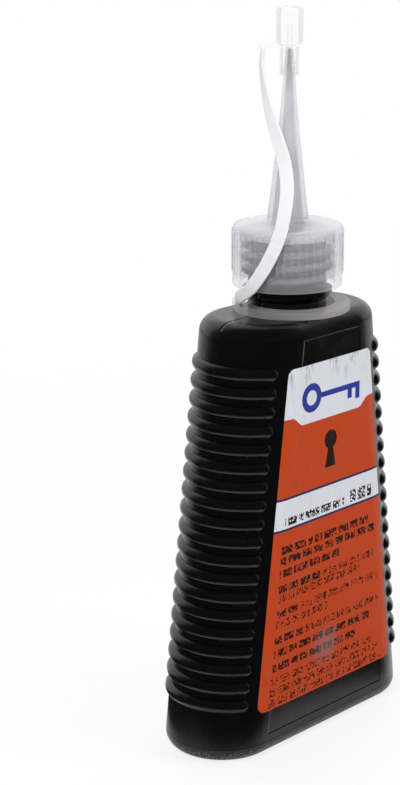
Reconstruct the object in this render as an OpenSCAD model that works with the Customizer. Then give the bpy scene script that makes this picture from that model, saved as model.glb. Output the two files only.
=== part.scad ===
// Ribbed squeeze bottle for dry powder, with a screw-on spout cap and a captive tip cap on a strap.
// Millimetres. Z is up, the label faces -Y, and the origin is the middle of the base on the floor.

/* [Bottle body] */
// Depth of the body from the front panel to the back panel
body_depth = 29.2; // [24:0.1:36]
// Width across the body at the floor
base_width = 77.4; // [66:0.1:90]
// Width across the body at the shoulder
shoulder_width = 50.2; // [47:0.1:60]
// Height of the flat shoulder
shoulder_height = 109.8; // [100:0.1:125]
// Rounding of the lower edge
base_rounding = 3.8; // [2.5:0.1:5]
// Rounding of the shoulder edge
shoulder_rounding = 3.6; // [2.5:0.1:5]
// Thickness of the moulded wall
wall = 1.2; // [0.8:0.1:2]
// Depth of the hollow under the base
base_hollow = 0.9; // [0.4:0.1:1.5]
// Width of the rim that the bottle stands on
foot_rim = 6.4; // [5.6:0.1:8]

/* [Squeeze ribs] */
// Number of ribs on each narrow side
rib_count = 19; // [9:1:19]
// Height of the lowest rib
rib_first = 15.1; // [12:0.1:18]
// Step from rib to rib
rib_step = 4.62; // [4.4:0.01:4.75]
// Radius of the bead of one rib
rib_bead = 1.9; // [1.6:0.05:2]
// How far a rib stands out of the wall
rib_rise = 1.1; // [0.7:0.05:1.3]
// Angle from the middle of the narrow side to the tip of a rib
rib_reach = 64; // [50:1:66]

/* [Neck] */
// Outer diameter of the neck
neck_outer = 19.6; // [17:0.1:21]
// Bore of the neck
neck_bore = 16.8; // [13:0.1:17]
// Height of the neck above the shoulder
neck_height = 18.2; // [17:0.1:22]
// Height of the bead above the shoulder
bead_level = 4.3; // [4:0.1:4.6]
// Outer diameter of the bead
bead_outer = 22.4; // [22:0.1:23.2]
// Thickness of the bead at its edge
bead_thick = 1.1; // [0.8:0.1:1.4]
// Height of the slope under the bead
bead_slope = 1.4; // [0.8:0.1:1.8]

/* [Spout cap] */
// Outer diameter of the cap without its grip ridges
cap_outer = 27.4; // [26.4:0.1:32]
// Wall of the cap skirt
cap_wall = 1.8; // [1.2:0.1:2.4]
// Height of the cap skirt from its lower edge to the flat top
cap_height = 15.1; // [14.8:0.1:18]
// Thickness of the cap top
cap_top = 1.6; // [1.2:0.1:2.2]
// Rounding of the upper edge of the cap
cap_rounding = 1; // [0.8:0.1:1.8]
// Number of grip ridges
ridge_count = 48; // [24:1:60]
// Radius of a grip ridge
ridge_radius = 0.3; // [0.3:0.05:0.5]
// Height of the plain rim below the ridges
plain_rim = 3.2; // [2:0.1:5]
// Outer diameter of the spout at its foot
spout_foot = 10.6; // [9.5:0.1:12]
// Outer diameter of the spout where its taper eases
spout_waist = 5; // [4.4:0.1:5.6]
// Height of the waist above the cap top
spout_waist_level = 23.7; // [20:0.1:26]
// Outer diameter of the spout tip
spout_tip = 1.7; // [1.5:0.05:2]
// Length of the spout above the cap top
spout_length = 43; // [40:0.1:50]
// Bore of the spout at its foot
spout_inlet = 8; // [6:0.1:8]
// Bore of the spout at its waist
spout_throat = 3; // [2.4:0.1:3.2]
// Bore of the spout at its tip
spout_outlet = 0.8; // [0.6:0.05:0.9]
// Rounding between the spout foot and the cap top
spout_fillet = 1.4; // [0.6:0.1:2]

/* [Seal washer] */
// Thickness of the washer
washer_thick = 1.5; // [1:0.1:2]
// Hole in the washer
washer_hole = 8.4; // [8:0.1:10]

/* [Captive closure] */
// Outer diameter of the neck ring
ring_outer = 29.6; // [28:0.1:31]
// Hole in the neck ring
ring_hole = 21.8; // [21.7:0.1:22.2]
// Thickness of the neck ring
ring_thick = 1.8; // [1.2:0.1:2.2]
// How far the loose ring lies off the middle of the neck
ring_shift = 1; // [0:0.1:1]
// Direction in which the ring lies off the middle
ring_shift_turn = -47; // [-180:1:180]
// Outer diameter of the sleeve of the tip cap
sleeve_outer = 4.7; // [4.2:0.1:5.4]
// How far the sleeve covers the spout
sleeve_grip = 6.6; // [5:0.1:8]
// Outer diameter of the knob of the tip cap
knob_outer = 6.6; // [5.6:0.1:8]
// Height of the knob
knob_height = 9.8; // [8:0.1:12]
// Rounding of the knob
knob_rounding = 1; // [0.4:0.1:1.5]
// Diameter of the blind channel above the spout tip
channel_bore = 1.3; // [1:0.1:1.6]
// Depth of the blind channel inside the knob
channel_depth = 5.6; // [4:0.1:6.5]
// Distance from the axis at which the strap joins the lug of the knob
lug_reach = 6.4; // [5.5:0.1:8]
// Thickness of the lug
lug_thick = 1.2; // [0.8:0.1:1.6]
// Width of the strap
strap_width = 3.3; // [2.4:0.1:4]
// Thickness of the strap
strap_thick = 0.9; // [0.6:0.05:1.1]

/* [Front label] */
// Height of the lower edge of the label
label_low = 12.2; // [10:0.1:16]
// Height of the upper edge of the label
label_high = 99.1; // [80:0.1:100]
// Width of the label at its lower edge
label_low_width = 53.2; // [40:0.1:54]
// Width of the label at its upper edge
label_high_width = 31.3; // [24:0.1:32]
// Rounding of the label corners
label_corner = 2; // [1:0.1:4]
// Thickness of the label film
label_thick = 0.12; // [0.08:0.01:0.3]

/* [Powder] */
// Height of the powder level
powder_height = 72; // [30:1:90]

/* [Clearances] */
// Gap between a cap bore and the neck bead, and between parts that turn
turn_gap = 0.6; // [0.4:0.05:0.8]
// Gap of a seated part
seat_gap = 0.05; // [0.02:0.01:0.1]
// Gap of the tip cap on the spout
tip_gap = 0.08; // [0.05:0.01:0.1]

/* [Hidden] */
$fn = 64;

// Body: round ends of one radius, whose centres lean inwards from the base to the shoulder
end_radius = body_depth / 2;
base_centre = base_width / 2 - end_radius;
lean = (base_width - shoulder_width) / 2 / shoulder_height;
floor_thick = wall + base_hollow;

// Neck and cap
neck_top = shoulder_height + neck_height;
bead_low = shoulder_height + bead_level;
washer_base = neck_top + seat_gap;
cap_ceiling = washer_base + washer_thick + seat_gap;
cap_top_level = cap_ceiling + cap_top;
cap_low = cap_top_level - cap_height;
cap_bore = cap_outer - 2 * cap_wall;
ridge_height = cap_height - plain_rim - cap_rounding - ridge_radius;

// Spout and tip cap
spout_end = cap_top_level + spout_length;
waist_level = cap_top_level + spout_waist_level;
tip_slope = (spout_waist - spout_tip) / (spout_end - waist_level);
knob_low = spout_end + tip_gap;
sleeve_low = knob_low - sleeve_grip;
knob_top = knob_low + knob_height;
bore_mouth = spout_tip + tip_slope * sleeve_grip + 2 * tip_gap;
bore_end = spout_tip + 2 * tip_gap;

// Ring
ring_low = shoulder_height + seat_gap;
ring_top = ring_low + ring_thick;
ring_centre = [ring_shift * cos(ring_shift_turn), ring_shift * sin(ring_shift_turn)];

// Slack for cutting tools
eps = 0.01;
over = 1;

// Half section of the body with rounded lower and upper corners
module half_section(r, low, high, round_low, round_high) {
    translate([0, low]) square([r - round_low, round_low]);
    translate([0, low + round_low]) square([r, high - low - round_low - round_high]);
    translate([0, high - round_high]) square([r - round_high, round_high]);
    intersection() {
        translate([0, low]) square([r, high - low]);
        union() {
            translate([r - round_low, low + round_low]) circle(round_low);
            translate([r - round_high, high - round_high]) circle(round_high);
        }
    }
}

// Centre of a round end at a height
function end_centre(z) = base_centre - lean * z;

// Leaning frame of a round end: 1 is the right side, -1 the left
module lean_frame(side) {
    multmatrix([[1, 0, -side * lean, side * base_centre], [0, 1, 0, 0], [0, 0, 1, 0], [0, 0, 0, 1]])
        children();
}

// Space between the centres of the two round ends
module between_ends(low, high) {
    intersection_for (side = [-1, 1])
        lean_frame(side)
            translate([side > 0 ? -base_width : 0, -body_depth, low - over])
                cube([base_width, 2 * body_depth, high - low + 2 * over]);
}

// Tapered body form with two round ends and a flat front and back
module body_form(r, low, high, round_low, round_high) {
    for (side = [-1, 1])
        lean_frame(side)
            rotate([0, 0, side > 0 ? -90 : 90])
                rotate_extrude(angle = 180)
                    half_section(r, low, high, round_low, round_high);
    intersection() {
        rotate([90, 0, 90])
            linear_extrude(base_width, center = true) {
                half_section(r, low, high, round_low, round_high);
                mirror([1, 0]) half_section(r, low, high, round_low, round_high);
            }
        between_ends(low, high);
    }
}

// One bead round a narrow side, with a round tip at each end
module rib(side, z) {
    reach = rib_reach - asin(sqrt(pow(rib_bead, 2) - pow(rib_bead - rib_rise, 2)) / end_radius);
    centre = end_radius + rib_rise - rib_bead;
    translate([side * end_centre(z), 0, z])
        rotate([0, 0, side > 0 ? 0 : 180]) {
            rotate([0, 0, -reach])
                rotate_extrude(angle = 2 * reach)
                    translate([centre, 0]) circle(rib_bead, $fn = 24);
            for (end = [-1, 1])
                rotate([0, 0, end * reach])
                    translate([centre, 0, 0]) rotate([90, 0, 0]) sphere(rib_bead - 3 * eps, $fn = 24);
        }
}

// Outline of the base hollow
module foot_outline() {
    square([2 * base_centre, body_depth - 2 * foot_rim], center = true);
    for (side = [-1, 1])
        translate([side * base_centre, 0]) circle(end_radius - foot_rim);
}

// Black moulded bottle with a hollow body, squeeze ribs, neck and bead
module bottle() {
    color("#17171a")
        difference() {
            union() {
                body_form(end_radius, 0, shoulder_height, base_rounding, shoulder_rounding);
                for (side = [-1, 1], i = [0 : rib_count - 1])
                    rib(side, rib_first + i * rib_step);
                translate([0, 0, shoulder_height - wall / 2])
                    cylinder(d = neck_outer, h = neck_height + wall / 2);
                rotate_extrude()
                    polygon([[0, bead_low - bead_slope], [neck_outer / 2, bead_low - bead_slope],
                             [bead_outer / 2, bead_low], [bead_outer / 2, bead_low + bead_thick],
                             [0, bead_low + bead_thick]]);
            }
            body_form(end_radius - wall, floor_thick, shoulder_height - wall,
                      base_rounding - wall, shoulder_rounding - wall);
            translate([0, 0, shoulder_height - 2 * wall])
                cylinder(d = neck_bore, h = neck_height + 2 * wall + over);
            translate([0, 0, -over]) linear_extrude(base_hollow + over) foot_outline();
        }
}

// Loose graphite fill, levelled inside the body
module graphite_powder() {
    color("#3a3b3e")
        body_form(end_radius - wall - seat_gap, floor_thick + seat_gap, powder_height,
                  base_rounding - wall, seat_gap);
}

// Slope of the long label edges, half width at a height, and the corner centres
label_lean = (label_low_width - label_high_width) / 2 / (label_high - label_low);
label_edge = sqrt(1 + pow(label_lean, 2));
function label_half(z) = label_low_width / 2 - label_lean * (z - label_low);
function corner_x(z) = label_half(z) - label_corner * label_edge;

// Tapered label outline with round corners
module label_outline() {
    low = label_low + label_corner;
    high = label_high - label_corner;
    out_x = label_corner / label_edge;
    out_z = label_corner * label_lean / label_edge;
    right = [[corner_x(low), label_low], [corner_x(low) + out_x, low + out_z],
             [corner_x(high) + out_x, high + out_z], [corner_x(high), label_high]];
    left = [for (i = [len(right) - 1 : -1 : 0]) [-right[i][0], right[i][1]]];
    polygon(concat(right, left));
    for (side = [-1, 1], z = [low, high])
        translate([side * corner_x(z), z]) circle(label_corner);
}

// Film label that wraps a little way round the edges of the front panel
module front_label() {
    skin = end_radius + seat_gap;
    color("#c8501e")
        intersection() {
            union() {
                for (side = [-1, 1])
                    lean_frame(side)
                        rotate([0, 0, side > 0 ? -90 : 180])
                            rotate_extrude(angle = 90)
                                translate([skin, 0]) square([label_thick, shoulder_height]);
                intersection() {
                    translate([-base_width / 2, -skin - label_thick, 0])
                        cube([base_width, label_thick, shoulder_height]);
                    between_ends(0, shoulder_height);
                }
            }
            translate([0, -end_radius / 2, 0])
                rotate([90, 0, 0]) linear_extrude(body_depth) label_outline();
        }
}

// Soft washer between the mouth of the neck and the ceiling of the cap
module seal_washer() {
    color("#e8e6df")
        translate([0, 0, washer_base])
            difference() {
                cylinder(d = cap_bore - 2 * turn_gap, h = washer_thick);
                translate([0, 0, -over]) cylinder(d = washer_hole, h = washer_thick + 2 * over);
            }
}

// Half section of the cap skirt and top
module cap_section() {
    r = cap_outer / 2;
    difference() {
        union() {
            translate([0, cap_low]) square([r, cap_height - cap_rounding]);
            translate([0, cap_top_level - cap_rounding]) square([r - cap_rounding, cap_rounding]);
            translate([r - cap_rounding, cap_top_level - cap_rounding]) circle(cap_rounding);
        }
        translate([0, cap_low - over]) square([cap_bore / 2, cap_ceiling - cap_low + over]);
    }
}

// Half section of the spout without its bore, with a rounded foot
module spout_outline() {
    foot = spout_foot / 2;
    polygon([[0, cap_ceiling], [foot, cap_ceiling], [foot, cap_top_level],
             [spout_waist / 2, waist_level], [spout_tip / 2, spout_end], [0, spout_end]]);
    difference() {
        translate([0, cap_ceiling])
            square([foot + spout_fillet, cap_top_level + spout_fillet - cap_ceiling]);
        translate([foot + spout_fillet, cap_top_level + spout_fillet]) circle(spout_fillet);
    }
}

// Half section of the powder way through the cap top and the spout
module spout_bore() {
    polygon([[0, cap_ceiling - over], [spout_inlet / 2, cap_ceiling - over],
             [spout_inlet / 2, cap_top_level], [spout_throat / 2, waist_level],
             [spout_outlet / 2, spout_end], [spout_outlet / 2, spout_end + over], [0, spout_end + over]]);
}

// Translucent screw cap and spout, one moulding
module nozzle_cap() {
    color("#dcdde0") {
        rotate_extrude()
            difference() {
                union() {
                    cap_section();
                    spout_outline();
                }
                spout_bore();
            }
        for (i = [0 : ridge_count - 1])
            rotate([0, 0, i * 360 / ridge_count])
                intersection() {
                    translate([cap_outer / 2, 0, cap_low + plain_rim])
                        cylinder(r = ridge_radius, h = ridge_height, $fn = 16);
                    translate([cap_outer / 2 - ridge_radius / 2, -cap_wall, cap_low])
                        cube([cap_wall, 2 * cap_wall, cap_height]);
                }
    }
}

// Loose ring on the neck that carries the strap
module neck_ring() {
    color("#d4d2d2")
        translate([ring_centre[0], ring_centre[1], ring_low])
            difference() {
                cylinder(d = ring_outer, h = ring_thick);
                translate([0, 0, -over]) cylinder(d = ring_hole, h = ring_thick + 2 * over);
            }
}

// Clear tip cap: a sleeve on the spout, a knob with a blind channel and a lug for the strap
module tip_cap() {
    knob = knob_outer / 2;
    color("#f2f4f6")
        difference() {
            union() {
                rotate_extrude() {
                    translate([0, sleeve_low]) square([sleeve_outer / 2, sleeve_grip + knob_rounding]);
                    translate([0, knob_low]) square([knob - knob_rounding, knob_height]);
                    translate([0, knob_low + knob_rounding])
                        square([knob, knob_height - 2 * knob_rounding]);
                    for (z = [knob_low + knob_rounding, knob_top - knob_rounding])
                        translate([knob - knob_rounding, z]) circle(knob_rounding);
                }
                rotate([0, 0, lug_turn])
                    translate([0, -strap_width / 2, knob_low])
                        cube([lug_reach + strap_thick, strap_width, lug_thick]);
            }
            rotate_extrude()
                polygon([[0, sleeve_low - over], [bore_mouth / 2 + over * tip_slope / 2, sleeve_low - over],
                         [bore_end / 2, knob_low], [channel_bore / 2, knob_low],
                         [channel_bore / 2, knob_low + channel_depth], [0, knob_low + channel_depth]]);
        }
}

// Route of the strap from the ring to the lug, as [turn about the neck, distance from the axis, rise],
// where the rise goes from 0 on the ring to 1 under the lug
lug_turn = 136;
strap_foot = (ring_outer + ring_hole) / 4;
strap_clear = cap_outer / 2 + ridge_radius + strap_thick / 2;
strap_route = [[157, strap_foot + 0.4, 0], [158, strap_foot + 0.6, 0.013], [163, strap_foot + 1.3, 0.034],
               [172, strap_clear + 0.2, 0.055], [181.4, strap_clear + 0.5, 0.081],
               [188.3, strap_clear + 0.7, 0.11], [200.5, strap_clear + 0.85, 0.187],
               [210.7, strap_clear + 0.85, 0.28], [215.5, strap_clear - 0.3, 0.357], [219, 11.8, 0.465],
               [215, 8.9, 0.566], [200, 7, 0.647], [177, 6.3, 0.737], [155, 6.5, 0.849], [141, 6.8, 0.939],
               [lug_turn, lug_reach, 1]];
strap_steps = 4;
strap_points = [for (i = [0 : len(strap_route) - 2], j = [0 : strap_steps - 1])
                    spline_point(i, j / strap_steps), polar(strap_route[len(strap_route) - 1])];

function polar(p) = [p[1] * cos(p[0]), p[1] * sin(p[0]),
                     ring_top + p[2] * (knob_low - seat_gap - ring_top)];
function route_at(i) = polar(strap_route[max(0, min(len(strap_route) - 1, i))]);
function spline_point(i, t) =
    let (a = route_at(i - 1), b = route_at(i), c = route_at(i + 1), d = route_at(i + 2))
    0.5 * (2 * b + (c - a) * t + (2 * a - 5 * b + 4 * c - d) * pow(t, 2)
           + (3 * b - a - 3 * c + d) * pow(t, 3));
function unit(v) = v / norm(v);

// Cross section of the strap at one point: its flat side faces away from the axis, and its ends are level
function strap_ring(i) =
    let (last = len(strap_points) - 1,
         p = strap_points[i],
         run = i == 0 || i == last ? [0, 0, 1] : unit(strap_points[i + 1] - strap_points[i - 1]),
         out = unit([p[0], p[1], 0]),
         across = unit(cross(run, out)),
         face = cross(across, run))
    [for (c = [[-1, -1], [1, -1], [1, 1], [-1, 1]])
        p + across * c[0] * strap_width / 2 + face * c[1] * strap_thick / 2];

// Flat flexible strap from the ring to the knob
module tether_strap() {
    rings = len(strap_points);
    color("#fafafa")
        polyhedron(
            points = [for (i = [0 : rings - 1]) each strap_ring(i)],
            faces = concat(
                [[3, 2, 1, 0]],
                [for (i = [0 : rings - 2], k = [0 : 3])
                    each [[4 * i + k, 4 * i + (k + 1) % 4, 4 * i + 4 + (k + 1) % 4],
                          [4 * i + k, 4 * i + 4 + (k + 1) % 4, 4 * i + 4 + k]]],
                [[for (k = [0 : 3]) 4 * (rings - 1) + k]]));
}

bottle();
graphite_powder();
front_label();
seal_washer();
nozzle_cap();
neck_ring();
tether_strap();
tip_cap();
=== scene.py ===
"""Dressed model of a black ribbed squeeze bottle for graphite lock powder.

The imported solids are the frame. This script gives each of them its finish, adds the screw threads, puts a
supple strap in place of the solid one, and sets up the studio.
"""

import logging
import math
from collections.abc import Mapping, Sequence
from dataclasses import dataclass
from enum import Enum
from typing import Any

import bmesh
import bpy
from mathutils import Matrix, Vector


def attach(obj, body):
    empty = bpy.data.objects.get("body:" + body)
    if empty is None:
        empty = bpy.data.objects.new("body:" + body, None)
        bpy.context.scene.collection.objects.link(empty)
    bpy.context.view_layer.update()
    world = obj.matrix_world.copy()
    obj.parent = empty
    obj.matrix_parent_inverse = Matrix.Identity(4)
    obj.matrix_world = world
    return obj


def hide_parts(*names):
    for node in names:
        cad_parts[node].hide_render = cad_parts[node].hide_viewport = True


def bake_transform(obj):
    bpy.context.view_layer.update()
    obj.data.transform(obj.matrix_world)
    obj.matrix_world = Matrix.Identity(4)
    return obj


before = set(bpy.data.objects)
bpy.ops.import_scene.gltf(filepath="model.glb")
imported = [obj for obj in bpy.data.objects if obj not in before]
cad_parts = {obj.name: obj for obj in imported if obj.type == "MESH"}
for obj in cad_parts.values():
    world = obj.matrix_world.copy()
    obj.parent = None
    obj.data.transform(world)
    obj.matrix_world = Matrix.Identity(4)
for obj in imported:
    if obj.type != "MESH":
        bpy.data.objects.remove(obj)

MM = 0.001
LOG = logging.getLogger("bottle")
# Vertices that lie closer together are one, and edges with a steeper bend are sharp
MERGE = 0.001 * MM
SHARP = math.radians(40)
# Most of a noise texture lies between these values
NOISE = (0.3, 0.7)
SMOOTH = "SMOOTHSTEP"

Pair = tuple[float, float]
Triple = tuple[float, float, float]
Quad = tuple[float, float, float, float]
Inputs = Mapping[str, Any] | Sequence[Any]
# A material, its node tree, its Principled shader and the place on the object
Canvas = tuple[bpy.types.Material, bpy.types.NodeTree, bpy.types.Node, bpy.types.NodeSocket]


class Body(Enum):
    """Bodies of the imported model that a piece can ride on."""

    BOTTLE = "bottle"
    RING = "neck_ring"
    CAP = "nozzle_cap"
    TIP = "tip_cap"


class Side(Enum):
    """Which wall a screw thread stands on."""

    OUTSIDE = 1
    INSIDE = -1


def linear(code: str) -> Quad:
    """Turns an sRGB hex colour into linear light.

    Args:
        code: Colour as "#rrggbb".

    Returns:
        Red, green, blue and alpha.
    """
    parts = [int(code[i : i + 2], 16) / 255 for i in (1, 3, 5)]
    red, green, blue = (c / 12.92 if c <= 0.04045 else ((c + 0.055) / 1.055) ** 2.4 for c in parts)
    return red, green, blue, 1.0


def feed(tree: bpy.types.NodeTree, node: bpy.types.Node, inputs: Inputs) -> None:
    """Sets or links the inputs of a node.

    Args:
        tree: Node tree that holds the node.
        node: The node.
        inputs: Values by the inputs' names, or in the order of the inputs that are in use. A socket is
            linked, and so is the first output in use of a node.
    """
    if not isinstance(inputs, Mapping):
        inputs = dict(zip([i for i, socket in enumerate(node.inputs) if socket.enabled], inputs))
    for key, value in inputs.items():
        if isinstance(value, bpy.types.Node):
            value = next(socket for socket in value.outputs if socket.enabled)
        if isinstance(value, bpy.types.NodeSocket):
            tree.links.new(value, node.inputs[key])
        else:
            node.inputs[key].default_value = value


def add_node(tree: bpy.types.NodeTree, kind: str, inputs: Inputs = (), **settings: Any) -> bpy.types.Node:
    """Adds a node with its settings and links.

    Args:
        tree: Node tree of a material or of the world.
        kind: Blender's name of the node, without the ShaderNode that it starts with.
        inputs: What its inputs get, as for feed.
        **settings: Properties of the node.

    Returns:
        The new node.
    """
    node = tree.nodes.new(f"ShaderNode{kind}")
    for name, value in settings.items():
        setattr(node, name, value)
    feed(tree, node, inputs)
    return node


def start_material(name: str) -> Canvas:
    """Makes a material with an empty shader.

    Args:
        name: Name of the material.

    Returns:
        The material, its node tree, its Principled shader and the place on the object.
    """
    material = bpy.data.materials.new(name)
    material.use_nodes = True
    tree = material.node_tree
    tree.nodes.clear()
    shader = add_node(tree, "BsdfPrincipled")
    add_node(tree, "OutputMaterial", {"Surface": shader})
    return material, tree, shader, add_node(tree, "TexCoord").outputs["Object"]


def dress(name: str, material: bpy.types.Material) -> None:
    """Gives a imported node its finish.

    Args:
        name: Name of the node.
        material: Its finish.
    """
    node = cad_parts[name]
    node.data.materials.clear()
    node.data.materials.append(material)
    LOG.info("%s: %s", name, material.name)


def keep(shape: bmesh.types.BMesh, name: str, material: bpy.types.Material) -> bpy.types.Object:
    """Turns a bmesh into a smooth object at the origin.

    Args:
        shape: The finished shape, which is freed.
        name: Name of the piece.
        material: Its finish.

    Returns:
        The new object.
    """
    bmesh.ops.remove_doubles(shape, verts=shape.verts, dist=MERGE)
    bmesh.ops.recalc_face_normals(shape, faces=shape.faces)
    for face in shape.faces:
        face.smooth = True
    mesh = bpy.data.meshes.new(name)
    shape.to_mesh(mesh)
    shape.free()
    mesh.materials.append(material)
    mesh.set_sharp_from_angle(angle=SHARP)
    piece = bpy.data.objects.new(name, mesh)
    bpy.context.scene.collection.objects.link(piece)
    LOG.info("%s: %d faces, %s", name, len(mesh.polygons), material.name)
    return piece


@dataclass(frozen=True)
class BlackPolyethylene:
    """Blow-moulded black LDPE: deep black, soft sheen, faint orange peel, mould lines, dust at the foot."""

    black: str = "#070708"
    dust: str = "#8b8882"
    roughness: Pair = (0.2, 0.3)
    ior: float = 1.5
    sheen_patch: float = 7 * MM
    # Heights of the relief are in mm
    peel: float = 2.2 * MM
    peel_height: float = 0.03
    seam_half: float = 0.18 * MM
    seam_height: float = 0.02
    pinch_half: float = 0.55 * MM
    pinch_height: float = -0.5
    # The pinched seam starts between these levels
    shoulder: Pair = (107.8 * MM, 109.5 * MM)
    base_line: float = 3.7 * MM
    base_height: float = 0.06
    # The panel: half its width at level 0, what that loses per rise, and where the flat wall lies
    panel_half: float = 23.5 * MM
    panel_lean: float = 0.12386
    panel_face: float = 13.9 * MM
    panel_levels: Pair = (5.9 * MM, 105.4 * MM)
    crease_half: float = 0.2 * MM
    panel_height: float = -0.12
    # The noise at which a speck of dust shows is least below the first level and most above the second
    speck: float = 0.7 * MM
    dust_levels: Pair = (1 * MM, 5 * MM)
    dust_starts: Pair = (0.465, 0.7)
    dust_fade: float = 0.1
    dust_cover: float = 0.55

    def make(self) -> bpy.types.Material:
        """Makes the material.

        Returns:
            The material.
        """
        material, tree, shader, place = start_material("black_ldpe_blow_moulded")
        along, depth, level = add_node(tree, "SeparateXYZ", [place]).outputs
        far_x, far_y = (add_node(tree, "Math", [axis], operation="ABSOLUTE") for axis in (along, depth))

        # Raised line where the two halves of the mould met, and a pinched groove on the shoulder
        seam, pinch = (
            add_node(tree, "MapRange", [far_y, 0.0, half, height, 0.0], interpolation_type=SMOOTH)
            for half, height in ((self.seam_half, self.seam_height), (self.pinch_half, self.pinch_height))
        )
        on_top = add_node(tree, "MapRange", [level, *self.shoulder, 0.0, 1.0], interpolation_type=SMOOTH)

        # Line round the foot where the bottom insert of the mould met its walls
        gap = add_node(tree, "Math", [level, self.base_line], operation="SUBTRACT")
        gap = add_node(tree, "Math", [gap], operation="ABSOLUTE")
        limits = [gap, 0.0, self.seam_half, self.base_height, 0.0]
        base = add_node(tree, "MapRange", limits, interpolation_type=SMOOTH)

        # Slightly sunk flat panel on the front and back
        taper = [level, -self.panel_lean, self.panel_half]
        inside = add_node(tree, "Math", taper, operation="MULTIPLY_ADD")
        inside = add_node(tree, "Math", [inside, far_x], operation="SUBTRACT")
        low, high = self.panel_levels
        for a, b in ((high, level), (level, low)):
            edge = add_node(tree, "Math", [a, b], operation="SUBTRACT")
            inside = add_node(tree, "Math", [inside, edge], operation="MINIMUM")
        limits = [inside, -self.crease_half, self.crease_half, 0.0, self.panel_height]
        panel = add_node(tree, "MapRange", limits, interpolation_type=SMOOTH)
        facing = add_node(tree, "Math", [far_y, self.panel_face], operation="GREATER_THAN")

        # All of that stands on the faint orange peel of a blown wall
        pattern = {"Vector": place, "Scale": 1 / self.peel, "Detail": 2.0, "Roughness": 0.4}
        peel = add_node(tree, "TexNoise", pattern)
        relief = add_node(tree, "Math", [peel, self.peel_height], operation="MULTIPLY")
        for height, where in ((seam, 1.0), (pinch, on_top), (base, 1.0), (panel, facing)):
            relief = add_node(tree, "Math", [height, where, relief], operation="MULTIPLY_ADD")
        bump = add_node(tree, "Bump", {"Strength": 1.0, "Distance": MM, "Height": relief})

        # Powder dust that clings near the foot, and a few specks higher up
        pattern = {"Vector": place, "Scale": 1 / self.speck, "Detail": 5.0, "Roughness": 0.7}
        specks = add_node(tree, "TexNoise", pattern)
        limits = [level, *self.dust_levels, *self.dust_starts]
        starts = add_node(tree, "MapRange", limits, interpolation_type=SMOOTH)
        dusty = add_node(tree, "Math", [specks, starts], operation="SUBTRACT")
        dusty = add_node(tree, "MapRange", [dusty, 0.0, self.dust_fade, 0.0, self.dust_cover])
        colour = add_node(tree, "Mix", [dusty, linear(self.black), linear(self.dust)], data_type="RGBA")

        pattern = {"Vector": place, "Scale": 1 / self.sheen_patch, "Detail": 4.0}
        patches = add_node(tree, "TexNoise", pattern)
        rough = add_node(tree, "MapRange", [patches, *NOISE, *self.roughness])
        feed(tree, shader, {"Base Color": colour, "Roughness": rough, "Normal": bump, "IOR": self.ior})
        return material


@dataclass(frozen=True)
class NaturalPolyethylene:
    """Injection-moulded LDPE without pigment: milky, dark things behind it show through, satin skin."""

    name: str
    colour: str
    cover: float
    roughness: Pair
    subsurface: float
    transmission: float = 0.0
    ior: float = 1.51
    flow: float = 4 * MM
    grain: float = 0.9 * MM
    grain_height: float = 0.012 * MM
    scatter: Triple = (1.0, 0.95, 0.9)
    scatter_depth: float = 2.5 * MM

    def make(self) -> bpy.types.Material:
        """Returns the material."""
        return self._skin()[0]

    def _skin(self) -> Canvas:
        """Makes the plain milky skin.

        Returns:
            The material, its node tree, its Principled shader and the place on the object.
        """
        material, tree, shader, place = start_material(self.name)
        flow = add_node(tree, "TexNoise", {"Vector": place, "Scale": 1 / self.flow, "Detail": 3.0})
        grain = add_node(tree, "TexNoise", {"Vector": place, "Scale": 1 / self.grain, "Detail": 2.0})
        bump = {"Strength": 1.0, "Distance": self.grain_height, "Height": grain}
        skin = {
            "Base Color": linear(self.colour),
            "Roughness": add_node(tree, "MapRange", [flow, *NOISE, *self.roughness]),
            "Normal": add_node(tree, "Bump", bump),
            "IOR": self.ior,
            "Alpha": self.cover,
            "Transmission Weight": self.transmission,
            "Subsurface Weight": self.subsurface,
            "Subsurface Radius": self.scatter,
            "Subsurface Scale": self.scatter_depth,
        }
        feed(tree, shader, skin)
        return material, tree, shader, place


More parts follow.
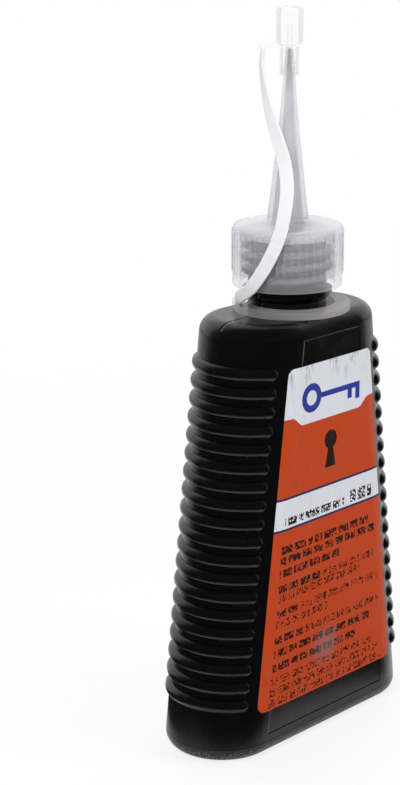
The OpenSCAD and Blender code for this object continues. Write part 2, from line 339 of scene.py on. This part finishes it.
@dataclass(frozen=True)
class PowderyPolyethylene(NaturalPolyethylene):
    """The milky plastic of the spout cap: clearer down the skirt, and grey with powder inside the spout."""

    residue: str = "#7d7d86"
    residue_cover: Pair = (0.2, 0.36)
    drift: float = 5 * MM
    drift_noise: Pair = (0.35, 0.65)
    # Length below the tip on which the bore is nearly full of powder, and the cover that this adds
    clogged: float = 12 * MM
    clogged_cover: float = 0.6
    # The skirt: its cover at two levels, radius half way through its wall, and cover of the powder inside
    skirt: Pair = (0.19, 0.37)
    skirt_levels: Pair = (116.1 * MM, 127 * MM)
    skirt_middle: float = 12.6 * MM
    skirt_residue: float = 0.14
    # The spout: level above which it stands, then three levels with the radius half way through its wall
    spout: float = 130.4 * MM
    foot: Pair = (131.2 * MM, 4.65 * MM)
    waist: Pair = (154.9 * MM, 2.0 * MM)
    tip: Pair = (174.2 * MM, 0.62 * MM)
    slant_least: float = 0.5

    def make(self) -> bpy.types.Material:
        """Makes the material.

        Returns:
            The material.
        """
        material, tree, shader, place = self._skin()
        level = add_node(tree, "SeparateXYZ", [place]).outputs["Z"]
        flat = add_node(tree, "VectorMath", [place, (1.0, 1.0, 0.0)], operation="MULTIPLY")
        radius = add_node(tree, "VectorMath", [flat], operation="LENGTH")

        # The middle of the spout's wall follows the larger of two tapers, and the skirt's is upright
        lower, upper = (
            add_node(tree, "MapRange", [level, a[0], b[0], a[1], b[1]], clamp=False)
            for a, b in ((self.foot, self.waist), (self.waist, self.tip))
        )
        middle = add_node(tree, "Math", [lower, upper], operation="MAXIMUM")
        above = add_node(tree, "Math", [level, self.spout], operation="GREATER_THAN")
        middle = add_node(tree, "Mix", [above, self.skirt_middle, middle], data_type="FLOAT")
        bore = add_node(tree, "Math", [radius, middle], operation="LESS_THAN")
        colour = add_node(tree, "Mix", [bore, linear(self.colour), linear(self.residue)], data_type="RGBA")

        # Powder clings in drifts, and thickly below the tip
        drifts = add_node(tree, "TexNoise", {"Vector": place, "Scale": 1 / self.drift, "Detail": 4.0})
        coat = add_node(tree, "MapRange", [drifts, *self.drift_noise, *self.residue_cover])
        limits = [level, self.tip[0] - self.clogged, self.tip[0], 0.0, self.clogged_cover]
        clogged = add_node(tree, "MapRange", limits, interpolation_type=SMOOTH)
        coat = add_node(tree, "Math", [coat, clogged], operation="ADD")
        coat = add_node(tree, "Mix", [above, self.skirt_residue, coat], data_type="FLOAT")
        milk = add_node(tree, "MapRange", [level, *self.skirt_levels, *self.skirt])
        milk = add_node(tree, "Mix", [above, milk, self.cover], data_type="FLOAT")
        cover = add_node(tree, "Mix", [bore, milk, coat], data_type="FLOAT")

        # Seen at a slant, more of the wall lies in the line of sight
        facing = add_node(tree, "LayerWeight", {"Blend": 0.5}).outputs["Facing"]
        slant = add_node(tree, "MapRange", [facing, 0.0, 1.0, 1.0, self.slant_least])
        slant = add_node(tree, "Math", [1.0, slant], operation="DIVIDE")
        passed = add_node(tree, "Math", [1.0, cover], operation="SUBTRACT")
        passed = add_node(tree, "Math", [passed, slant], operation="POWER")
        cover = add_node(tree, "Math", [1.0, passed], operation="SUBTRACT")
        feed(tree, shader, {"Base Color": colour, "Alpha": cover})
        return material


@dataclass(frozen=True)
class LabelFilm:
    """Printed film label: satin ink, a scuffed white head, an orange field, a white band, dark print and a
    faint painted sheen.
    """

    white: str = "#d3d4dc"
    orange: str = "#b84117"
    navy: str = "#2b2a55"
    blue: str = "#2b3691"
    ink: str = "#2a1712"
    # Grey of the scuffs, which also paints a faint sheen over the label
    scuff_and_sheen: str = "#6f7075"
    roughness: Pair = (0.38, 0.6)
    ior: float = 1.48
    specular: float = 0.12
    # Lower edge of the head at its sides, then where it dips: level, and where the dip starts and ends
    head: float = 86.7 * MM
    dip: Triple = (84.3 * MM, 10.8 * MM, 14.8 * MM)
    band: Pair = (58.65 * MM, 66.6 * MM)
    rule: float = 0.6 * MM
    # Bow of the key sign: middle along and up, radius of its ring and half the ring's width
    bow: Quad = (-7.6 * MM, 90.6 * MM, 2.8 * MM, 0.9 * MM)
    # Shank and teeth of the key sign in mm: left, right, bottom and top
    shank: tuple[Quad, ...] = (
        (-4.2, 11.2, 89.9, 91.3),
        (6.4, 8.1, 87.5, 90.0),
        (9.5, 11.2, 86.9, 90.0),
    )
    # Keyhole sign: level and radius of its disc, then its wedge: half width at that level, flare and length
    keyhole: Pair = (78.4 * MM, 2.4 * MM)
    wedge: Triple = (0.5 * MM, 0.22, 7.2 * MM)
    # Rows of small print in mm: left, right, bottom and top
    thin_rows: tuple[Quad, ...] = (
        (-2.6, 18.2, 42.4, 44.4),
        (-19.6, 12.6, 40.0, 42.0),
        (-10.6, 20.2, 36.0, 38.0),
        (-20.4, -0.2, 33.2, 35.2),
        (-6.6, 21.1, 29.2, 31.2),
        (-22.2, 18.2, 18.4, 20.4),
        (-22.8, 20.7, 15.6, 17.6),
        (-23.2, 23.6, 12.8, 14.8),
    )
    bold_rows: tuple[Quad, ...] = (
        (-17.2, 5.8, 59.6, 61.6),
        (8.2, 16.9, 59.6, 62.8),
        (-18.6, 15.8, 52.4, 54.4),
        (-18.8, 18.4, 49.6, 51.6),
        (-19.1, 4.8, 46.4, 48.4),
        (-19.4, -3.4, 42.4, 44.4),
        (-20.1, -11.4, 36.0, 38.0),
        (-20.8, -7.4, 29.2, 31.2),
        (-21.2, 17.0, 25.6, 27.6),
        (-21.5, 11.4, 22.0, 24.0),
    )
    # Words: usual length, then as shares of it half the gap between two, and the shift from row to row
    word: float = 4.6 * MM
    word_gap: float = 0.09
    row_shift: float = 7.3
    # Strokes: width and height, and the share that thin and bold rows leave out
    stroke: Pair = (0.34 * MM, 0.4 * MM)
    blanks: Pair = (0.6, 0.3)
    # Scuffs and painted sheen: size and stretch, the noise over which they fade in, two levels and the
    # strength at each; the weaker strength, below the first level, is a faint painted sheen
    smear_and_sheen: float = 2 * MM
    smear_and_sheen_stretch: Triple = (1.0, 1.0, 0.3)
    smear_and_sheen_noise: Pair = (0.52, 0.72)
    smear_and_sheen_levels: Pair = (92.7 * MM, 98.7 * MM)
    smear_and_sheen_strength: Pair = (0.12, 1.0)
    # Worn patch in the print: middle along and up, how far it reaches, and its strength
    worn: Triple = (-0.8 * MM, 23.5 * MM, 7.5 * MM)
    worn_strength: float = 0.5
    wave: float = 11 * MM
    wave_height: float = 0.35 * MM

    def make(self) -> bpy.types.Material:
        """Makes the material.

        Returns:
            The material.
        """
        material, tree, shader, place = start_material("label_film_printed")
        along, _, level = add_node(tree, "SeparateXYZ", [place]).outputs
        far_x = add_node(tree, "Math", [along], operation="ABSOLUTE")

        # White head, which dips in the middle, and white band with navy rules, on the orange field
        limits = [far_x, *self.dip[1:], self.dip[0], self.head]
        hem = add_node(tree, "MapRange", limits, interpolation_type=SMOOTH)
        head = add_node(tree, "Math", [level, hem], operation="GREATER_THAN")
        middle, reach = sum(self.band) / 2, (self.band[1] - self.band[0]) / 2
        off = add_node(tree, "Math", [level, middle], operation="SUBTRACT")
        off = add_node(tree, "Math", [off], operation="ABSOLUTE")
        band = add_node(tree, "Math", [off, reach], operation="LESS_THAN")
        pale = add_node(tree, "Math", [head, band], operation="MAXIMUM")
        rule = add_node(tree, "Math", [off, reach, self.rule / 2], operation="COMPARE")

        # Key sign on the head
        bow = self._distance(tree, place, self.bow[:2])
        key = add_node(tree, "Math", [bow, *self.bow[2:]], operation="COMPARE")
        for box in self.shank:
            key = add_node(tree, "Math", [key, self._box(tree, along, level, box)], operation="MAXIMUM")

        # Keyhole sign on the field: a disc over a wedge that widens downwards
        disc = self._distance(tree, place, (0.0, self.keyhole[0]))
        disc = add_node(tree, "Math", [disc, self.keyhole[1]], operation="LESS_THAN")
        width, flare, length = self.wedge
        drop = add_node(tree, "Math", [level, self.keyhole[0]], operation="SUBTRACT")
        half = add_node(tree, "Math", [drop, -flare, width], operation="MULTIPLY_ADD")
        wedge = add_node(tree, "Math", [far_x, half], operation="LESS_THAN")
        tall = add_node(tree, "Math", [drop, -length / 2, length / 2], operation="COMPARE")
        wedge = add_node(tree, "Math", [wedge, tall], operation="MULTIPLY")
        printed = add_node(tree, "Math", [disc, wedge], operation="MAXIMUM")
        small = self._small_print(tree, along, level)
        printed = add_node(tree, "Math", [printed, small], operation="MAXIMUM")

        # Grey scuffs, strong along the top of the head and on a worn patch in the print; faint elsewhere,
        # where the same grey marks are a painted sheen
        stretch = add_node(tree, "Mapping", {"Vector": place, "Scale": self.smear_and_sheen_stretch})
        pattern = {"Vector": stretch, "Scale": 1 / self.smear_and_sheen, "Detail": 6.0, "Roughness": 0.65}
        smear_and_sheen = add_node(tree, "TexNoise", pattern)
        smear_and_sheen = add_node(tree, "MapRange", [smear_and_sheen, *self.smear_and_sheen_noise, 0.0, 1.0])
        limits = [level, *self.smear_and_sheen_levels, *self.smear_and_sheen_strength]
        strength = add_node(tree, "MapRange", limits, interpolation_type=SMOOTH)
        limits = [self._distance(tree, place, self.worn[:2]), 0.0, self.worn[2], self.worn_strength, 0.0]
        patch = add_node(tree, "MapRange", limits, interpolation_type=SMOOTH)
        smear_and_sheen = add_node(tree, "Math", [smear_and_sheen, strength, patch], operation="MULTIPLY_ADD")

        # The last layer is the grey of the scuffs and of the painted sheen
        layers = (
            (pale, self.white),
            (rule, self.navy),
            (key, self.blue),
            (printed, self.ink),
            (smear_and_sheen, self.scuff_and_sheen),
        )
        colour: bpy.types.Node | Quad = linear(self.orange)
        for mask, code in layers:
            colour = add_node(tree, "Mix", [mask, colour, linear(code)], data_type="RGBA")

        # The film lies on the blown wall with shallow waves
        waves = add_node(tree, "TexNoise", {"Vector": place, "Scale": 1 / self.wave, "Detail": 2.0})
        bump = {"Strength": 1.0, "Distance": self.wave_height, "Height": waves}
        skin = {
            "Base Color": colour,
            "Roughness": add_node(tree, "MapRange", [smear_and_sheen, 0.0, 1.0, *self.roughness]),
            "Normal": add_node(tree, "Bump", bump),
            "IOR": self.ior,
            "Specular IOR Level": self.specular,
        }
        feed(tree, shader, skin)
        return material

    def _small_print(
        self, tree: bpy.types.NodeTree, along: bpy.types.NodeSocket, level: bpy.types.NodeSocket
    ) -> bpy.types.Node:
        """Makes the mask of the small print, too fine to be read: rows of words made of random strokes.

        Args:
            tree: Node tree of the label.
            along: Place along the label.
            level: Height on the label.

        Returns:
            The mask.
        """
        number: bpy.types.Node | float = 0.0
        for i, row in enumerate((*self.thin_rows, *self.bold_rows), 1):
            box = self._box(tree, along, level, row)
            number = add_node(tree, "Math", [box, i, number], operation="MULTIPLY_ADD")
        mask, bold = (
            add_node(tree, "Math", [number, rows + 0.5], operation="GREATER_THAN")
            for rows in (0, len(self.thin_rows))
        )
        run = add_node(tree, "Math", [number, self.row_shift * self.word, along], operation="MULTIPLY_ADD")
        words = add_node(
            tree,
            "TexVoronoi",
            {"W": run, "Scale": 1 / self.word},
            voronoi_dimensions="1D",
            feature="DISTANCE_TO_EDGE",
        )
        word = add_node(tree, "Math", [words, self.word_gap], operation="GREATER_THAN")
        cell = []
        for place, size in zip((along, level), self.stroke):
            share = add_node(tree, "Math", [place, size], operation="DIVIDE")
            cell.append(add_node(tree, "Math", [share], operation="FLOOR"))
        corner = add_node(tree, "CombineXYZ", cell)
        chance = add_node(tree, "TexWhiteNoise", [corner], noise_dimensions="3D")
        blanks = add_node(tree, "Mix", [bold, *self.blanks], data_type="FLOAT")
        stroke = add_node(tree, "Math", [chance, blanks], operation="GREATER_THAN")
        for limit in (word, stroke):
            mask = add_node(tree, "Math", [mask, limit], operation="MULTIPLY")
        return mask

    def _distance(
        self, tree: bpy.types.NodeTree, place: bpy.types.NodeSocket, middle: Pair
    ) -> bpy.types.Node:
        """Makes the distance from a point on the label.

        Args:
            tree: Node tree of the label.
            place: Place on the object.
            middle: The point, along and up.

        Returns:
            The distance.
        """
        shift = (-middle[0], 0.0, -middle[1])
        off = add_node(tree, "VectorMath", [place, (1.0, 0.0, 1.0), shift], operation="MULTIPLY_ADD")
        return add_node(tree, "VectorMath", [off], operation="LENGTH")

    def _box(
        self, tree: bpy.types.NodeTree, along: bpy.types.NodeSocket, level: bpy.types.NodeSocket, box: Quad
    ) -> bpy.types.Node:
        """Makes the mask of a printed rectangle.

        Args:
            tree: Node tree of the label.
            along: Place along the label.
            level: Height on the label.
            box: Left, right, bottom and top of the rectangle in mm.

        Returns:
            The mask.
        """
        left, right, bottom, top = (side * MM for side in box)
        sides = [
            add_node(tree, "Math", [place, (a + b) / 2, (b - a) / 2], operation="COMPARE")
            for place, a, b in ((along, left, right), (level, bottom, top))
        ]
        return add_node(tree, "Math", sides, operation="MULTIPLY")


@dataclass(frozen=True)
class SealFoam:
    """Closed-cell polyethylene foam: off-white, quite matt, with fine cells."""

    light: str = "#e8e8ea"
    shade: str = "#d0d0d4"
    roughness: float = 0.85
    cell: float = 0.35 * MM
    cell_depth: float = 0.05 * MM

    def make(self) -> bpy.types.Material:
        """Makes the material.

        Returns:
            The material.
        """
        material, tree, shader, place = start_material("pe_foam_die_cut")
        cells = add_node(tree, "TexVoronoi", {"Vector": place, "Scale": 1 / self.cell})
        colour = add_node(tree, "Mix", [cells, linear(self.light), linear(self.shade)], data_type="RGBA")
        bump = add_node(tree, "Bump", {"Strength": 1.0, "Distance": self.cell_depth, "Height": cells})
        feed(tree, shader, {"Base Color": colour, "Roughness": self.roughness, "Normal": bump})
        return material


@dataclass(frozen=True)
class GraphitePowder:
    """Loose milled graphite: dark grey grains with a dull metallic glint."""

    dark: str = "#232426"
    light: str = "#55575b"
    metallic: float = 0.5
    roughness: float = 0.55
    # Milled grains are much finer: these are as coarse as they need to be to show
    grain: float = 0.4 * MM
    grain_height: float = 0.2 * MM

    def make(self) -> bpy.types.Material:
        """Makes the material.

        Returns:
            The material.
        """
        material, tree, shader, place = start_material("graphite_milled_powder")
        grains = add_node(tree, "TexNoise", {"Vector": place, "Scale": 1 / self.grain, "Detail": 6.0})
        bump = {"Strength": 1.0, "Distance": self.grain_height, "Height": grains}
        skin = {
            "Base Color": add_node(
                tree, "Mix", [grains, linear(self.dark), linear(self.light)], data_type="RGBA"
            ),
            "Metallic": self.metallic,
            "Roughness": self.roughness,
            "Normal": add_node(tree, "Bump", bump),
        }
        feed(tree, shader, skin)
        return material


@dataclass
class ScrewThread:
    """One right-hand thread of trapezoid section on a round wall, with ends that run out."""

    name: str
    side: Side
    wall: float
    height: float
    foot: float
    crest: float
    start_turn: float
    start_level: float = 118.6 * MM
    turns: float = 2.6
    pitch: float = 3.175 * MM
    steps_per_turn: int = 72
    run_out: float = math.radians(35)
    sink: float = 0.15 * MM

    def build(self, material: bpy.types.Material, body: Body) -> bpy.types.Object:
        """Builds the thread and lets it ride.

        Args:
            material: Its finish.
            body: The body that carries it.

        Returns:
            The thread.
        """
        root = self.wall - self.side.value * self.sink
        top = self.wall + self.side.value * self.height
        foot, crest = self.foot / 2, self.crest / 2
        shape = bmesh.new()
        profile = ((root, -foot), (top, -crest), (top, crest), (root, foot))
        verts = [shape.verts.new((r, 0.0, z)) for r, z in profile]
        face = shape.faces.new(verts)
        steps = round(self.turns * self.steps_per_turn)
        bmesh.ops.spin(
            shape,
            geom=[face, *face.edges, *verts],
            cent=(0.0, 0.0, 0.0),
            axis=(0.0, 0.0, 1.0),
            dvec=(0.0, 0.0, self.pitch * self.turns / steps),
            angle=2 * math.pi * self.turns,
            steps=steps,
            use_merge=False,
        )
        self._run_out(shape, root)
        place = Matrix.Translation((0.0, 0.0, self.start_level)) @ Matrix.Rotation(self.start_turn, 4, "Z")
        bmesh.ops.transform(shape, matrix=place, verts=shape.verts)
        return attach(keep(shape, self.name, material), body.value)

    def _run_out(self, shape: bmesh.types.BMesh, root: float) -> None:
        """Lowers both ends of the thread into its wall.

        Args:
            shape: The thread, starting at turn 0 and level 0.
            root: Radius at the thread's root.
        """
        total = 2 * math.pi * self.turns
        for vert in shape.verts:
            turn = math.atan2(vert.co.y, vert.co.x) % (2 * math.pi)
            whole = round((vert.co.z - self.pitch * turn / (2 * math.pi)) / self.pitch)
            run = turn + 2 * math.pi * whole
            ease = max(0.0, min(1.0, min(run, total - run) / self.run_out))
            radius = math.hypot(vert.co.x, vert.co.y)
            wanted = root + (radius - root) * ease
            vert.co.x *= wanted / radius
            vert.co.y *= wanted / radius


@dataclass
class BottleBody:
    """The blown bottle with its neck thread, its label and the powder in it."""

    neck_radius: float = 9.8 * MM
    thread_turn: float = math.radians(15)

    def build(self) -> None:
        """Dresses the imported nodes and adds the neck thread."""
        black = BlackPolyethylene().make()
        dress("bottle", black)
        dress("front_label", LabelFilm().make())
        dress("graphite_powder", GraphitePowder().make())
        thread = ScrewThread(
            name="neck_thread",
            side=Side.OUTSIDE,
            wall=self.neck_radius,
            height=1.6 * MM,
            foot=2.0 * MM,
            crest=1.0 * MM,
            start_turn=self.thread_turn,
        )
        thread.build(black, Body.BOTTLE)


@dataclass
class SpoutCap:
    """The milky screw cap with its spout, its inner thread and the seal washer."""

    bore_radius: float = 11.9 * MM
    thread_turn: float = math.radians(195)

    def build(self) -> None:
        """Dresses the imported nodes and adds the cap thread."""
        milky = PowderyPolyethylene(
            name="natural_ldpe_moulded",
            colour="#d9d9e2",
            cover=0.3,
            roughness=(0.34, 0.44),
            subsurface=0.6,
        ).make()
        thick = NaturalPolyethylene(
            name="natural_ldpe_thick",
            colour="#cfcfda",
            cover=0.2,
            roughness=(0.34, 0.44),
            subsurface=0.6,
        ).make()
        dress("nozzle_cap", milky)
        dress("seal_washer", SealFoam().make())
        thread = ScrewThread(
            name="cap_thread",
            side=Side.INSIDE,
            wall=self.bore_radius,
            height=1.3 * MM,
            foot=1.5 * MM,
            crest=0.7 * MM,
            start_turn=self.thread_turn,
        )
        thread.build(thick, Body.CAP)


@dataclass
class CaptiveClosure:
    """The soft ring, strap and tip cap: the strap comes in two lengths that meet beside the spout."""

    ring_top: float = 111.65 * MM
    lug_level: float = 174.23 * MM
    width: float = 3.3 * MM
    thick: float = 0.9 * MM
    # Corners of the section, and the powers that make a flat strip with rounded edges of a circle
    corners: int = 20
    rounding: Pair = (0.35, 0.55)
    # Mark of the route at which the two lengths meet, and steps from mark to mark
    split: int = 10
    steps: int = 8
    # Turn about the neck in degrees, distance from the axis in mm, share of the rise from ring to lug
    route: tuple[Triple, ...] = (
        (157, 13.25, 0.0),
        (158, 13.45, 0.013),
        (163, 14.15, 0.034),
        (172, 14.65, 0.055),
        (181.4, 14.95, 0.081),
        (188.3, 15.15, 0.11),
        (200.5, 15.3, 0.187),
        (210.7, 15.3, 0.28),
        (215.5, 14.15, 0.357),
        (219, 11.8, 0.465),
        (215, 8.9, 0.566),
        (200, 7.0, 0.647),
        (177, 6.3, 0.737),
        (155, 6.5, 0.849),
        (141, 6.8, 0.939),
        (136, 6.4, 1.0),
    )

    def build(self) -> None:
        """Dresses the ring and the tip cap and builds the strap."""
        soft = NaturalPolyethylene(
            name="soft_ldpe_ring",
            colour="#d2cdcd",
            cover=0.26,
            roughness=(0.3, 0.42),
            subsurface=0.3,
        ).make()
        clear = NaturalPolyethylene(
            name="clear_ldpe_tip",
            colour="#fbfbfd",
            cover=0.25,
            roughness=(0.1, 0.2),
            subsurface=0.0,
            transmission=1.0,
        ).make()
        bright = NaturalPolyethylene(
            name="soft_ldpe_strap",
            colour="#f8f8fa",
            cover=0.96,
            roughness=(0.32, 0.42),
            subsurface=0.2,
        ).make()
        dress("neck_ring", soft)
        dress("tip_cap", clear)
        points = self._points()
        middle = self.split * self.steps
        lower = self._length("strap_lower", points, 0, middle, bright)
        upper = self._length("strap_upper", points, middle, len(points) - 1, bright)
        for piece in (lower, upper):
            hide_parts("tether_strap")
        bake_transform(lower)
        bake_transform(upper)

    def _points(self) -> list[Vector]:
        """Works out the middle line of the strap, a Catmull-Rom curve through the route.

        Returns:
            Points along it.
        """
        rise = self.lug_level - self.ring_top
        marks = []
        for turn, radius, share in self.route:
            x, y = (radius * MM * part(math.radians(turn)) for part in (math.cos, math.sin))
            marks.append(Vector((x, y, self.ring_top + share * rise)))
        points = []
        for i in range(len(marks) - 1):
            a, b, c, d = (marks[max(0, min(len(marks) - 1, i + k))] for k in (-1, 0, 1, 2))
            for j in range(self.steps):
                s = j / self.steps
                bend = (2 * a - 5 * b + 4 * c - d) * s**2 + (3 * b - a - 3 * c + d) * s**3
                points.append(0.5 * (2 * b + (c - a) * s + bend))
        return [*points, marks[-1]]

    def _place(self, points: list[Vector], i: int) -> Matrix:
        """Works out the frame of the strap's section at one point.

        Args:
            points: Middle line of the strap.
            i: Number of the point.

        Returns:
            Matrix whose X runs across the strap, Y out of its face and Z along it.
        """
        ends = (0, len(points) - 1)
        run = Vector((0.0, 0.0, 1.0)) if i in ends else (points[i + 1] - points[i - 1]).normalized()
        out = Vector((points[i].x, points[i].y, 0.0)).normalized()
        across = run.cross(out).normalized()
        face = across.cross(run)
        place = Matrix((across, face, run)).transposed().to_4x4()
        place.translation = points[i]
        return place

    def _length(
        self, name: str, points: list[Vector], first: int, last: int, material: bpy.types.Material
    ) -> bpy.types.Object:
        """Builds one length of the strap.

        Args:
            name: Name of the piece.
            points: Middle line of the whole strap.
            first: Point at which the length starts.
            last: Point at which it ends.
            material: Its finish.

        Returns:
            The piece.
        """
        shape = bmesh.new()
        bmesh.ops.create_circle(shape, cap_ends=True, segments=self.corners, radius=1.0)
        for vert in shape.verts:
            vert.co.x = math.copysign(abs(vert.co.x) ** self.rounding[0], vert.co.x) * self.width / 2
            vert.co.y = math.copysign(abs(vert.co.y) ** self.rounding[1], vert.co.y) * self.thick / 2
        place = self._place(points, first)
        bmesh.ops.transform(shape, matrix=place, verts=shape.verts)
        face = shape.faces[:][0]
        for i in range(first + 1, last + 1):
            following = self._place(points, i)
            grown = bmesh.ops.extrude_face_region(shape, geom=[face])["geom"]
            verts = [g for g in grown if isinstance(g, bmesh.types.BMVert)]
            bmesh.ops.transform(shape, matrix=following @ place.inverted(), verts=verts)
            face = next(g for g in grown if isinstance(g, bmesh.types.BMFace))
            place = following
        return keep(shape, name, material)


@dataclass
class Studio:
    """White table, soft lamps and the camera at the photograph's view."""

    position: Triple = (-0.37280, -0.31627, 0.22360)
    azimuth: float = math.radians(-47.132)
    pitch: float = math.radians(15.553)
    roll: float = math.radians(-0.101)
    # Focal length and height of the picture in pixels, and the sensor in mm
    focal: float = 2000
    tall: float = 785
    sensor: float = 36
    clip: Pair = (0.01, 20.0)
    # Softboxes: name, place and width in metres, and watts
    lamps: tuple[tuple[str, Triple, float, float], ...] = (
        ("key_softbox", (0.35, -0.65, 0.55), 0.45, 3.6),
        ("front_softbox", (-0.75, -0.25, 0.75), 0.5, 7.4),
        ("top_softbox", (0.10, 0.15, 0.85), 0.7, 3.0),
    )
    aim: Triple = (0.0, 0.0, 0.08)
    # Direction to the backdrop, light from the room and from the backdrop, and where one becomes the other
    behind: Triple = (0.7328, 0.6804, 0.0)
    light: Pair = (0.05, 0.95)
    light_edge: Pair = (0.15, 0.5)
    table: str = "#ebebeb"
    table_roughness: float = 0.9
    table_radius: float = 2.5
    table_sides: int = 96
    table_gap: float = 0.05 * MM
    # Distances between which the table fades into the background, and how far it has done so at the first
    fade: Pair = (0.06, 0.4)
    fade_least: float = 0.8
    # Painted dark reflection, a dark colour that only shiny faces see on the table: limits of the way it
    # lies from the foot, the slope it is seen at and the distance from the foot
    painted_dark_reflection: str = "#181818"
    dark_reflection_facing: Pair = (0.2, 0.6)
    dark_reflection_slope: Pair = (0.58, 0.86)
    dark_reflection_gap: Pair = (0.05, 0.068)
    # The foot is about half as deep as it is wide, so depth counts double in the distance from it
    foot_shape: Triple = (1.0, 2.0, 0.0)

    def build(self) -> None:
        """Sets up the world, the table, the lamps and the camera."""
        bpy.context.scene.view_settings.view_transform = "Standard"
        self._world()
        self._table()
        for lamp in self.lamps:
            self._lamp(*lamp)
        self._camera()

    def _seen(self, tree: bpy.types.NodeTree) -> bpy.types.Node:
        """Makes the mask of what the camera sees, also through clear plastic.

        Args:
            tree: Node tree of the table or of the world.

        Returns:
            The mask.
        """
        path = add_node(tree, "LightPath").outputs
        return add_node(
            tree, "Math", [path["Is Camera Ray"], path["Is Transmission Ray"]], operation="MAXIMUM"
        )

    def _world(self) -> None:
        """White backdrop behind the object and a dim room in front of it, white all round to the camera."""
        world = bpy.data.worlds.new("white_studio")
        bpy.context.scene.world = world
        world.use_nodes = True
        tree = world.node_tree
        tree.nodes.clear()
        place = add_node(tree, "TexCoord").outputs["Generated"]
        back = add_node(tree, "VectorMath", [place, self.behind], operation="DOT_PRODUCT")
        light = add_node(tree, "MapRange", [back, *self.light_edge, *self.light], interpolation_type=SMOOTH)
        strength = add_node(tree, "Math", [light, self._seen(tree)], operation="MAXIMUM")
        sky = add_node(tree, "Background", {"Color": (1.0, 1.0, 1.0, 1.0), "Strength": strength})
        add_node(tree, "OutputWorld", {"Surface": sky})

    def _table(self) -> None:
        """White table that keeps a soft shadow and fades into the background, with a painted dark
        reflection that only shiny faces see.
        """
        material, tree, shader, place = start_material("white_table")
        far = add_node(tree, "VectorMath", [place], operation="LENGTH")
        limits = [far, *self.fade, self.fade_least, 1.0]
        fade = add_node(tree, "MapRange", limits, interpolation_type=SMOOTH)

        # Painted dark reflection: to shiny faces the table is painted dark in front of the object and
        # beside it, where they look out at a flat angle, and stays white where they look down or close to
        # the foot
        facing = add_node(tree, "VectorMath", [place, self.behind], operation="DOT_PRODUCT")
        facing = add_node(tree, "Math", [facing, far], operation="DIVIDE")
        sight = add_node(tree, "NewGeometry").outputs
        slope = add_node(tree, "SeparateXYZ", [sight["Incoming"]]).outputs["Z"]
        near = add_node(tree, "VectorMath", [place, self.foot_shape], operation="MULTIPLY")
        near = add_node(tree, "VectorMath", [near], operation="LENGTH")
        dark_reflection_share = add_node(tree, "LightPath").outputs["Is Glossy Ray"]
        for limits in (
            [facing, *self.dark_reflection_facing, 1.0, 0.0],
            [slope, *self.dark_reflection_slope, 1.0, 0.0],
            [near, *self.dark_reflection_gap, 0.0, 1.0],
        ):
            share = add_node(tree, "MapRange", limits, interpolation_type=SMOOTH)
            dark_reflection_share = add_node(tree, "Math", [dark_reflection_share, share], operation="MULTIPLY")
        # Dark only to glossy rays: a painted reflection, not a real card
        colour = add_node(tree, "Mix", [dark_reflection_share, linear(self.table), linear(self.painted_dark_reflection)], data_type="RGBA")
        feed(tree, shader, {"Base Color": colour, "Roughness": self.table_roughness})

        # White to the camera, and from below the table lets the foot be seen
        white = add_node(tree, "Math", [fade, self._seen(tree)], operation="MULTIPLY")
        top = add_node(tree, "MixShader", [white, shader, add_node(tree, "Emission", {"Strength": 1.0})])
        clear = add_node(tree, "BsdfTransparent")
        surface = add_node(tree, "MixShader", [sight["Backfacing"], top, clear])
        feed(tree, tree.get_output_node("ALL"), {"Surface": surface})

        shape = bmesh.new()
        bmesh.ops.create_circle(shape, cap_ends=True, segments=self.table_sides, radius=self.table_radius)
        bmesh.ops.translate(shape, vec=(0.0, 0.0, -self.table_gap), verts=shape.verts)
        mesh = bpy.data.meshes.new("table")
        shape.to_mesh(mesh)
        shape.free()
        mesh.materials.append(material)
        table = bpy.data.objects.new("table", mesh)
        bpy.context.scene.collection.objects.link(table)

    def _lamp(self, name: str, position: Triple, size: float, power: float) -> None:
        """Adds a softbox that points at the middle of the bottle.

        Args:
            name: Name of the lamp.
            position: Its place in metres.
            size: Width and height in metres.
            power: Watts.
        """
        lamp = bpy.data.lights.new(name, "AREA")
        lamp.shape = "RECTANGLE"
        lamp.size = lamp.size_y = size
        lamp.energy = power
        holder = bpy.data.objects.new(name, lamp)
        # Seen by a shiny face it would be a hard glint, which cross-polarised light doesn't give
        holder.visible_glossy = False
        bpy.context.scene.collection.objects.link(holder)
        holder.location = position
        ahead = Vector(self.aim) - Vector(position)
        holder.rotation_euler = ahead.to_track_quat("-Z", "Y").to_euler()

    def _camera(self) -> None:
        """Puts the camera where the photograph was taken."""
        level = Vector((math.cos(self.azimuth), math.sin(self.azimuth), 0.0))
        ahead = Vector(
            (
                -math.sin(self.azimuth) * math.cos(self.pitch),
                math.cos(self.azimuth) * math.cos(self.pitch),
                -math.sin(self.pitch),
            )
        )
        upward = level.cross(ahead)
        right = level * math.cos(self.roll) + upward * math.sin(self.roll)
        upward = right.cross(ahead)
        lens = bpy.data.cameras.new("photo_view")
        lens.lens = self.focal / self.tall * self.sensor
        lens.sensor_width = self.sensor
        lens.clip_start, lens.clip_end = self.clip
        camera = bpy.data.objects.new("photo_view", lens)
        bpy.context.scene.collection.objects.link(camera)
        turn = Matrix((right, upward, -ahead)).transposed().to_4x4()
        camera.matrix_world = Matrix.Translation(self.position) @ turn
        bpy.context.scene.camera = camera


def main() -> None:
    """Builds the sub-assemblies in order."""
    logging.basicConfig(level=logging.INFO, format="%(name)s %(message)s")
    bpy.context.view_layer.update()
    Studio().build()
    BottleBody().build()
    SpoutCap().build()
    CaptiveClosure().build()


if __name__ == "__main__":
    main()
